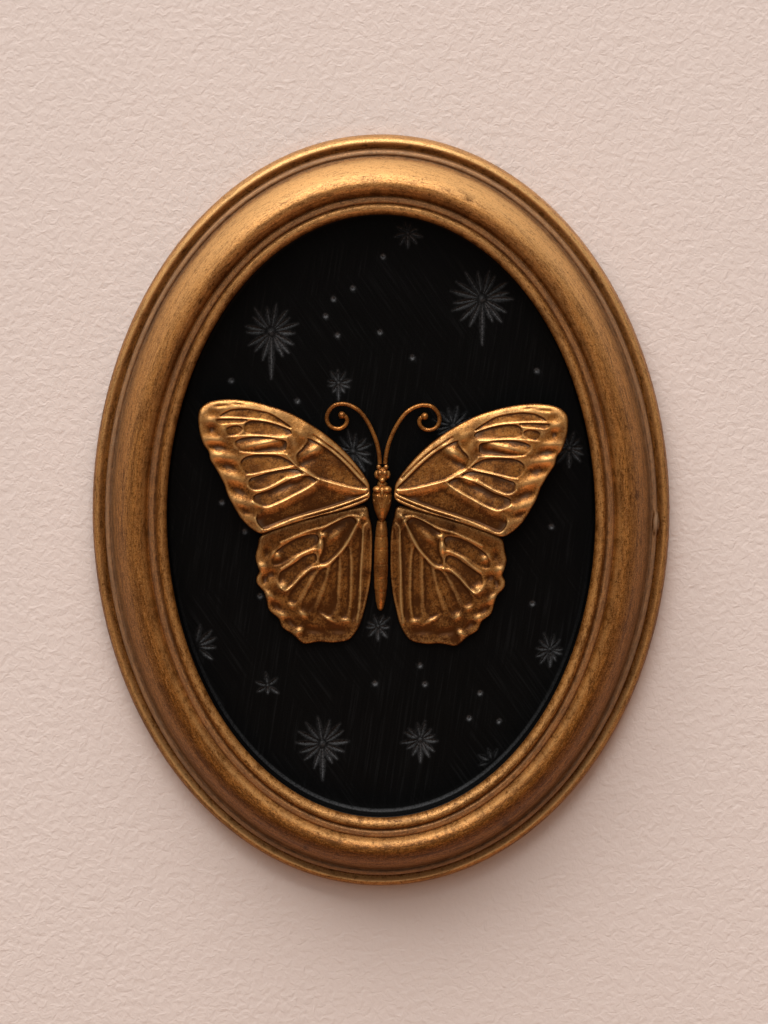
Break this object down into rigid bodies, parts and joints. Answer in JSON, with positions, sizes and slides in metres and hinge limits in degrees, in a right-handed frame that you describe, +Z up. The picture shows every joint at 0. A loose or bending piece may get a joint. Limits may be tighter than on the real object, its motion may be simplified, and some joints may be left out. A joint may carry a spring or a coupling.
{
  "type": "framed relief butterfly wall plaque",
  "caption": "Oval gilt wall frame with a black star-engraved panel and a gilt relief butterfly with spread wings and curled antennae.",
  "frame": {"origin": "centre of the back face, where the plaque lies against the wall", "axes": "+X to the viewer's right, +Z up the wall along the long axis, +Y into the wall; the front faces -Y"},
  "size_m": [0.1524, 0.0176, 0.2],
  "materials": {
    "gilt_frame": "antique gold paint with brown glaze over a cast moulding, satin",
    "black_panel": "black paint with faint brush strokes and grey dry-brushed stars",
    "gilt_butterfly": "antique gold paint, bright on the ridges and brown in the hollows",
    "steel_hanger": "zinc-plated stamped strip"
  },
  "bodies": {
    "root": {"frame": "gilt_frame", "panel": "black_panel", "hanger_strip": "steel_hanger", "body": "gilt_butterfly", "left_forewing": "gilt_butterfly", "right_forewing": "gilt_butterfly", "left_hindwing": "gilt_butterfly", "right_hindwing": "gilt_butterfly", "left_antenna": "gilt_butterfly", "right_antenna": "gilt_butterfly"}
  },
  "joints": []
}
